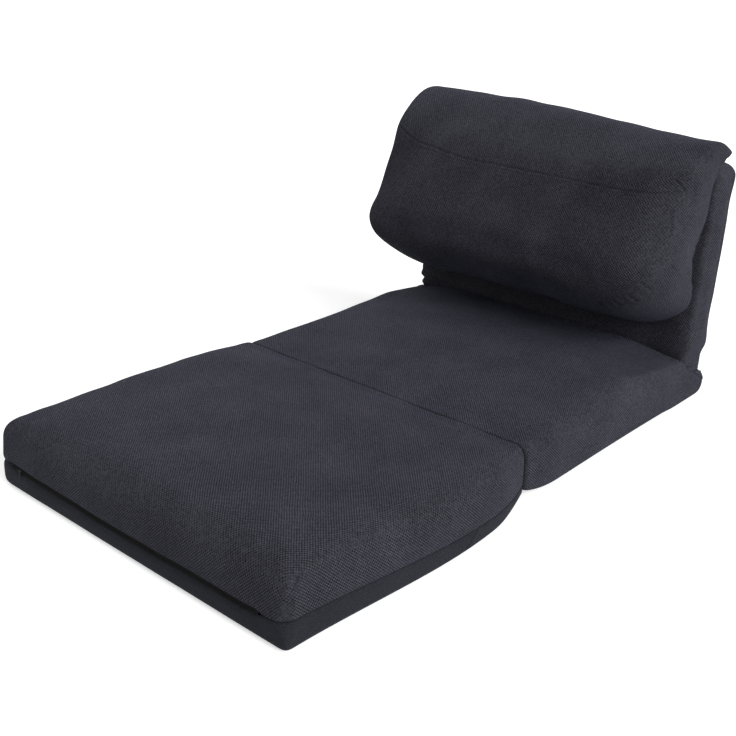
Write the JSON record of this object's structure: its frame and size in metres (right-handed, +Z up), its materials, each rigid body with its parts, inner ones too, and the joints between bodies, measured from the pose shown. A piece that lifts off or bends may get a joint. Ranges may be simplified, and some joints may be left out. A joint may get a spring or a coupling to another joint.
{
  "type": "convertible chair bed",
  "caption": "Low floor chair that opens to a single bed: seat, fold-over leg section, reclining backrest and soft hanging pillow",
  "frame": {"origin": "middle of the seat's flat underside, on the floor", "axes": "+X to the sitter's left, +Y towards the backrest, +Z up; the whole length runs along Y"},
  "size_m": [0.7818, 1.3356, 0.5985],
  "materials": {
    "frame_paint": "black powder-coated steel tube",
    "zinc_steel": "zinc-plated stamped steel",
    "webbing": "black elastic webbing",
    "foam": "pale yellow polyurethane foam",
    "cover_cloth": "charcoal chenille-look woven cover",
    "lower_cloth": "near-black plain woven under-cover",
    "filling": "white polyester fibre filling",
    "zip_black": "black moulded zip coil",
    "zip_metal": "black painted zip slider"
  },
  "bodies": {
    "seat": {"seat_frame": "frame_paint", "seat_cross_tubes": "frame_paint", "seat_webbing": "webbing", "seat_foam_top": "foam", "seat_foam_base": "foam", "seat_cover_top": "cover_cloth", "seat_cover_bottom": "lower_cloth", "rear_gusset": "cover_cloth", "side_gusset_left": "cover_cloth", "side_gusset_right": "cover_cloth", "hinge_strip": "cover_cloth", "hinge_plate_left": "zinc_steel", "hinge_plate_right": "zinc_steel", "pivot_rivets": "zinc_steel", "pawl_pins": "zinc_steel", "pawl_springs": "zinc_steel", "seat_hinge_bolts": "zinc_steel", "seat_hinge_nuts": "zinc_steel"},
    "backrest": {"back_frame": "frame_paint", "back_cross_tube": "frame_paint", "back_webbing": "webbing", "back_foam_front": "foam", "back_foam_rear": "foam", "back_cover_front": "cover_cloth", "back_cover_rear": "cover_cloth", "ratchet_plate_left": "zinc_steel", "ratchet_plate_right": "zinc_steel", "back_hinge_bolts": "zinc_steel", "back_hinge_nuts": "zinc_steel"},
    "leg_section": {"leg_foam": "foam", "leg_cover_top": "cover_cloth", "leg_cover_bottom": "lower_cloth", "zip_tape": "lower_cloth", "zip_coil": "zip_black"},
    "pillow": {"pillow_filling": "filling", "pillow_cover_front": "cover_cloth", "pillow_cover_back": "cover_cloth", "pillow_flap": "cover_cloth"},
    "zip_slider": {"zip_slider": "zip_metal"},
    "zip_pull": {"zip_pull": "zip_metal"},
    "pawl_left": {"pawl_left": "zinc_steel"},
    "pawl_right": {"pawl_right": "zinc_steel"}
  },
  "joints": [
    {"name": "leg_fold", "type": "hinge", "parent": "seat", "child": "leg_section", "pos_m": [0, -0.3165, 0.122], "axis": [-1, 0, 0], "range_deg": [0, 175], "deforming": ["hinge_strip", "pillow_filling", "pillow_cover_front", "pillow_cover_back", "pillow_flap"]},
    {"name": "recline", "type": "hinge", "parent": "seat", "child": "backrest", "pos_m": [0, 0.3125, 0.047], "axis": [-1, 0, 0], "range_deg": [0, 83], "deforming": ["rear_gusset"]},
    {"name": "pillow_lift", "type": "hinge", "parent": "backrest", "child": "pillow", "pos_m": [0, 0.38939, 0.51733], "axis": [-1, 0, 0], "range_deg": [0, 110]},
    {"name": "pawl_left_lift", "type": "hinge", "parent": "seat", "child": "pawl_left", "pos_m": [0.334, 0.2625, 0.034], "axis": [1, 0, 0], "range_deg": [0, 8], "stiffness_Nm_per_rad": 0.05, "springref_deg": -11.46},
    {"name": "pawl_right_lift", "type": "hinge", "parent": "seat", "child": "pawl_right", "pos_m": [-0.334, 0.2625, 0.034], "axis": [1, 0, 0], "range_deg": [0, 8], "stiffness_Nm_per_rad": 0.05, "springref_deg": -11.46},
    {"name": "zip_slide", "type": "slide", "parent": "leg_section", "child": "zip_slider", "axis": [1, 0, 0], "range_m": [0, 0.62]},
    {"name": "zip_pull_swing", "type": "hinge", "parent": "zip_slider", "child": "zip_pull", "pos_m": [-0.3295, -0.9246, 0.048], "axis": [-1, 0, 0], "range_deg": [0, 100]}
  ]
}
